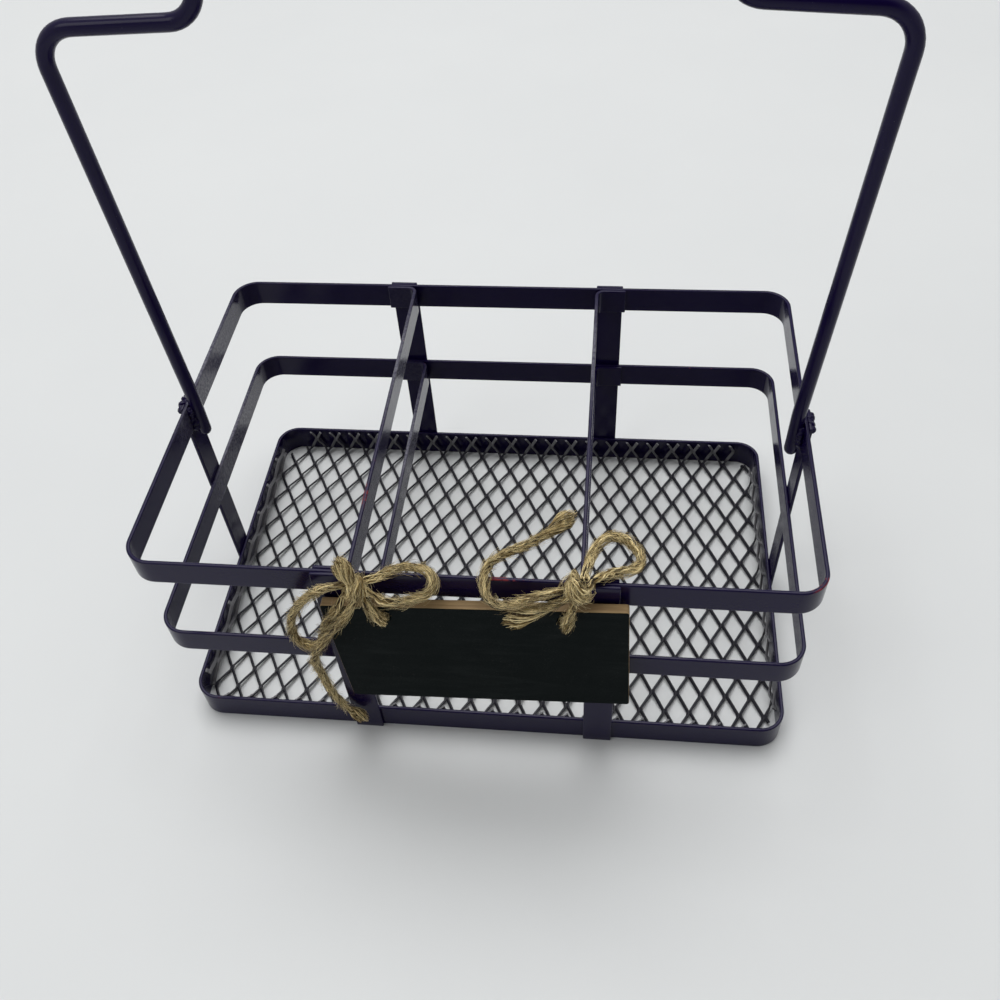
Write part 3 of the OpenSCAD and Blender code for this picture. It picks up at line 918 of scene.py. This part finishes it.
def floorTree(sizes):
    tree, given, result = newTree("expandedFloor", "GeometryNodeTree", {
        "Geometry": "Geometry", **sizes, "Material": "Material"}, {"Geometry": "Geometry"})
    perRow = 12
    stepAcross = given["Pitch Across"] * 0.5
    halfAlong = given["Pitch Along"] * 0.5
    place = field(tree, "GeometryNodeInputPosition")

    def line(count, start, step):
        inputs = {"Count": count, "Start Location": start, "Offset": step}
        return field(tree, "GeometryNodeMeshLine", inputs, mode="OFFSET")

    # one straight ribbon, copied to every column
    firstRow = given["Rows"] * -halfAlong
    rowStep = given["Pitch Along"] / perRow
    ribbon = line(given["Rows"] * perRow + 1.0, combine(tree, y=firstRow), combine(tree, y=rowStep))
    firstColumn = (given["Ribbons"] - 1.0) * (stepAcross * -0.5)
    columns = line(given["Ribbons"], combine(tree, x=firstColumn), combine(tree, x=stepAcross))
    columns = storeMark(columns, "column", field(tree, "GeometryNodeInputIndex"))
    ribbons = field(tree, "GeometryNodeInstanceOnPoints", {"Points": columns, "Instance": ribbon})
    ribbons = field(tree, "GeometryNodeRealizeInstances", {0: ribbons})

    # zigzag between the two bond columns; the strands lean up to the right,
    # so a ribbon is low in its right bonds and high in its left ones
    startX, startY = split(place)[:2]
    odd = storedMark(tree, "column").math("MODULO", 2.0)
    shifted = (startY + odd * halfAlong) / halfAlong
    swing = ramp(shifted.math("PINGPONG", 1.0), 1 / 6, 5 / 6) - 0.5
    # the points next to a bond are drawn in to its ends, so the bond is short and the strands straight
    fromMiddle = shifted.math("FRACT") - 0.5
    strandOnly = fromMiddle.math("ABSOLUTE").math("LESS_THAN", 0.4)
    drawnIn = fromMiddle * strandOnly * (given["Bond"] * -3.0 + 0.5)
    seenWidth = given["Strand"] * given["Lean"].math("COSINE")
    across = swing * (stepAcross - seenWidth) + (startX + given["Shift Across"])
    along = drawnIn * halfAlong + (startY + given["Shift Along"])
    lift = given["Strand"] * given["Lean"].math("SINE") * -swing
    ribbons = moveTo(ribbons, combine(tree, across, along, lift))

    # cut to the flat plan: round corners, and a flap along each side
    u, v, rise = split(place)
    absU, absV = u.math("ABSOLUTE"), v.math("ABSOLUTE")
    overU = (absU - (given["Half Width"] - given["Corner"])).math("MAXIMUM", 0.0)
    overV = (absV - (given["Half Depth"] - given["Corner"])).math("MAXIMUM", 0.0)
    reach = given["Lip"] + given["Corner"]
    reachV = v.math("LESS_THAN", 0.0) * (given["Front Lip"] - given["Lip"]) + reach
    endFlap = overU.math("LESS_THAN", 1e-6) * overV.math("LESS_THAN", reachV)
    sideFlap = overV.math("LESS_THAN", 1e-6) * overU.math("LESS_THAN", reach)
    inCorner = (overU * overU + overV * overV).math("SQRT").math("LESS_THAN", given["Corner"])
    outside = endFlap.math("MAXIMUM", sideFlap).math("MAXIMUM", inCorner).math("LESS_THAN", 0.5)
    ribbons = field(tree, "GeometryNodeDeleteGeometry", {0: ribbons, 1: outside}, domain="POINT")

    # fold the flaps up with a small bend
    def fold(value, size, half):
        past = size - half + given["Bend"]
        angle = (past / given["Bend"]).math("MAXIMUM", 0.0).math("MINIMUM", math.pi / 2)
        sine, cosine = angle.math("SINE"), angle.math("COSINE")
        upright = (given["Bend"] * (-math.pi / 2) + past).math("MAXIMUM", 0.0)
        out = half - given["Bend"] + (sine * given["Bend"] + past.math("MINIMUM", 0.0))
        up = (1.0 - cosine) * given["Bend"] + upright
        way = value.math("SIGN")
        return out * way, up, sine * -way, cosine

    x, upX, leanX, flatX = fold(u, absU, given["Half Width"])
    y, upY, leanY, flatY = fold(v, absV, given["Half Depth"])
    facing = combine(tree, leanX, leanY, flatX * flatY).vector("NORMALIZE")
    ribbons = storeMark(ribbons, "facing", facing, "FLOAT_VECTOR")
    ribbons = moveTo(ribbons, combine(tree, x, y, upX + upY + given["Height"]) + facing * rise)

    # give the ribbons their section
    strands = field(tree, "GeometryNodeMeshToCurve", {0: ribbons})
    facing = storedMark(tree, "facing", "FLOAT_VECTOR")
    strands = field(tree, "GeometryNodeSetCurveNormal", {0: strands, 2: facing}, mode="FREE")
    strands = field(tree, "GeometryNodeSetCurveTilt", {0: strands, "Tilt": -given["Lean"]})
    section = field(tree, "GeometryNodeCurvePrimitiveQuadrilateral", {
        "Width": given["Sheet"], "Height": given["Strand"]}, mode="RECTANGLE")
    section = field(tree, "GeometryNodeFilletCurve", {0: section, 1: 1, 2: given["Edge"]}, mode="POLY")
    solid = field(tree, "GeometryNodeCurveToMesh", {0: strands, 1: section, "Fill Caps": True})
    endTree(tree, [solid], given, result, smooth=False)
    return tree


floorSeed = pathMesh([(0, 0, 0), (0, 0, mm)])
floorPiece = grow("expandedFloor", floorSeed, floorTree(floorMesh), {**floorMesh, "Material": meshPaint})
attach(floorPiece, "frame")
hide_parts("base_mesh", "mesh_lip")
print("floor grown:", len(floorPiece.data.polygons), "faces")


# sign: a bevelled board with two tie holes, black on its face and bare wood elsewhere
sign = {
    "width": 89.0, "height": 50.5, "thickness": 3.1, "centre": (3.5, -70.05, 55.7), "tilt": 2.5,
    "holeAcross": 26.5, "holeDown": 4.9, "hole": 5.0, "bevel": 0.22, "corner": 0.7,
}


def makeSign(sizes):
    data = bpy.data.curves.new("signOutline", "CURVE")
    data.dimensions = "2D"
    data.fill_mode = "BOTH"
    data.extrude = sizes["thickness"] / 2 - sizes["bevel"]
    data.bevel_depth = sizes["bevel"]
    data.bevel_resolution = 2

    def closedLine(points):
        spline = data.splines.new("POLY")
        spline.points.add(len(points) - 1)
        spline.points.foreach_set("co", [value for x, y in points for value in (x, y, 0, 1)])
        spline.use_cyclic_u = True

    r = sizes["corner"]
    w, h = sizes["width"] / 2 - r - sizes["bevel"], sizes["height"] / 2 - r - sizes["bevel"]
    outline = []
    for turn, (sx, sy) in enumerate(((1, 1), (-1, 1), (-1, -1), (1, -1))):
        for k in range(5):
            angle = math.radians(90 * turn + 22.5 * k)
            outline.append((sx * w + r * math.cos(angle), sy * h + r * math.sin(angle)))
    closedLine(outline)
    holeRadius = sizes["hole"] / 2 + sizes["bevel"]
    holeUp = sizes["height"] / 2 - sizes["holeDown"]
    turns = [math.tau * k / 32 for k in range(32)]
    for side in (-1, 1):
        middle = side * sizes["holeAcross"]
        closedLine([(middle + holeRadius * math.cos(a), holeUp - holeRadius * math.sin(a)) for a in turns])
    seed = addObject("signSeed", data)
    depsgraph = bpy.context.evaluated_depsgraph_get()
    mesh = bpy.data.meshes.new_from_object(seed.evaluated_get(depsgraph))
    bpy.data.objects.remove(seed)
    tilt = math.radians(sizes["tilt"])
    along, up = Vector((math.cos(tilt), 0, math.sin(tilt))), Vector((-math.sin(tilt), 0, math.cos(tilt)))
    turn = Matrix((along, up, along.cross(up))).transposed().to_4x4()
    centre = Vector(sizes["centre"])
    mesh.transform(Matrix.Translation(centre * mm) @ turn @ Matrix.Scale(mm, 4))
    mesh.materials.clear()
    mesh.materials.append(chalkFace)
    mesh.materials.append(boardWood)
    # the black paint has run into the holes
    holes = [centre + along * side * sizes["holeAcross"] + up * holeUp for side in (-1, 1)]
    for face in mesh.polygons:
        offset = [(face.center / mm - hole) * Vector((1, 0, 1)) for hole in holes]
        inHole = min(gap.length for gap in offset) < holeRadius + 0.1 and face.normal.y < 0.9
        face.material_index = 0 if face.normal.y < -0.9 or inHole else 1
        face.use_smooth = False
    board = newPiece("signBoard", mesh)
    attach(board, "sign")
    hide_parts("sign_board")


makeSign(sign)
print("sign cut")


# weld lumps where the handle's feet and the side straps meet the top ring, in mm
weld = {
    "sizes": {
        "Lump": 1.35, "Smallest": 0.7, "Largest": 1.25, "Grid": 0.2, "Roughness": 0.8,
        "Scale": mm, "Seed": 7},
    "foot": {
        "across": 99.6, "up": (79.8, 81.0, 82.2, 83.4, 84.6, 85.8, 87.0),
        "pair": ((-1.9, 0.0), (2.0, 0.4))},
    "strap": {
        "across": 102.5, "at": (
            (-1.8, 87.2), (-0.4, 86.4), (0, 87.6), (1.4, 86.8),
            (2.6, 87.6), (3.6, 86.6), (4.8, 87.2), (5.8, 86.4))},
}
weldPlaces = []
for side in (-1, 1):
    foot, strap = weld["foot"], weld["strap"]
    weldPlaces += [(side * foot["across"], y, z + rise) for z in foot["up"] for y, rise in foot["pair"]]
    weldPlaces += [(side * strap["across"], y, z) for y, z in strap["at"]]


# the lumps run together into a bead, which is made in mm and then brought to scale
def weldTree(sizes):
    tree, given, result = newTree("weldLumps", "GeometryNodeTree", {
        "Geometry": "Geometry", **sizes, "Material": "Material"}, {"Geometry": "Geometry"})
    chance = {2: given["Smallest"], 3: given["Largest"], 8: given["Seed"]}
    size = field(tree, "FunctionNodeRandomValue", chance, 1, data_type="FLOAT")
    points = field(tree, "GeometryNodeMeshToPoints", {0: given["Geometry"]})
    cloud = field(tree, "GeometryNodePointsToVolume", {
        "Points": points, "Voxel Size": given["Grid"], "Radius": size * given["Lump"]},
        resolution_mode="VOXEL_SIZE")
    bead = field(tree, "GeometryNodeVolumeToMesh", {"Volume": cloud, "Threshold": 0.2})
    place = field(tree, "GeometryNodeInputPosition")
    push = (noise(place, 0.6) - 0.5) * (given["Roughness"] * 2.0)
    bead = moveBy(bead, field(tree, "GeometryNodeInputNormal") * push)
    bead = moveTo(bead, place * given["Scale"])
    endTree(tree, [bead], given, result)
    return tree


weldSizes = {**weld["sizes"], "Material": framePaint}
weldPiece = grow("weldLumps", pathMesh(weldPlaces), weldTree(weld["sizes"]), weldSizes)
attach(weldPiece, "frame")
print("welds laid:", len(weldPlaces))


# studio: a pale table, a pale room and two large soft lamps
studio = {
    "table": (0.70, 0.715, 0.715, 1), "tableDim": (0.64, 0.655, 0.66, 1), "halfTable": 3.0,
    "room": (0.80, 0.81, 0.815, 1), "roomLight": 0.6,
    # whoever looks at the object keeps some of the room's light off it
    "viewer": {"toward": (0.1, -0.66, 0.745), "core": 24, "rim": 52, "left": 0.05},
    "lamps": [
        {"name": "overheadLamp", "place": (-0.2, 0.9, 2.6), "size": 2.6, "power": 55.0},
        {"name": "sideLamp", "place": (-1.0, -0.9, 1.5), "size": 1.0, "power": 5.5},
    ],
}


def makeTable(setup):
    mesh = bpy.data.meshes.new("table")
    h = setup["halfTable"]
    mesh.from_pydata([(-h, -h, 0), (h, -h, 0), (h, h, 0), (-h, h, 0)], [], [(0, 1, 2, 3)])
    material, tree, shader, place = newFinish("tableTop", Roughness=0.55)
    grain = useGroup(tree, fineGrain, Vector=place, Grain=500.0, Cloud=5.0)
    mixColour(grain["Tone"], setup["table"], setup["tableDim"]).into(shader["Base Color"])
    mesh.materials.append(material)
    newPiece("table", mesh)


def makeRoom(setup):
    world = bpy.data.worlds.new("room")
    bpy.context.scene.world = world
    world.use_nodes = True
    tree = world.node_tree
    viewer = setup["viewer"]
    way = field(tree, "ShaderNodeTexCoord", output="Generated")
    near = way.vector("DOT_PRODUCT", viewer["toward"], output="Value")
    rim, core = (math.cos(math.radians(viewer[key])) for key in ("rim", "core"))
    light = tree.nodes["Background"]
    light.inputs["Color"].default_value = (1, 1, 1, 1)
    strength = ramp(near, rim, core, setup["roomLight"], setup["roomLight"] * viewer["left"])
    strength.into(light.inputs["Strength"])
    seen = field(tree, "ShaderNodeBackground", {"Color": setup["room"], "Strength": 1.0})
    ray = field(tree, "ShaderNodeLightPath", output="Is Camera Ray")
    mixed = field(tree, "ShaderNodeMixShader", {0: ray, 1: Field(tree, light.outputs[0]), 2: seen})
    mixed.into(tree.nodes["World Output"].inputs[0])


def makeLamps(setup):
    for lamp in setup["lamps"]:
        data = bpy.data.lights.new(lamp["name"], "AREA")
        data.shape = "DISK"
        data.size = lamp["size"]
        data.energy = lamp["power"]
        source = addObject(lamp["name"], data)
        source.location = lamp["place"]
        source.rotation_euler = (-Vector(lamp["place"])).to_track_quat("-Z", "Y").to_euler()


makeTable(studio)
makeRoom(studio)
makeLamps(studio)
bpy.context.scene.view_settings.view_transform = "Standard"
print("studio lit")
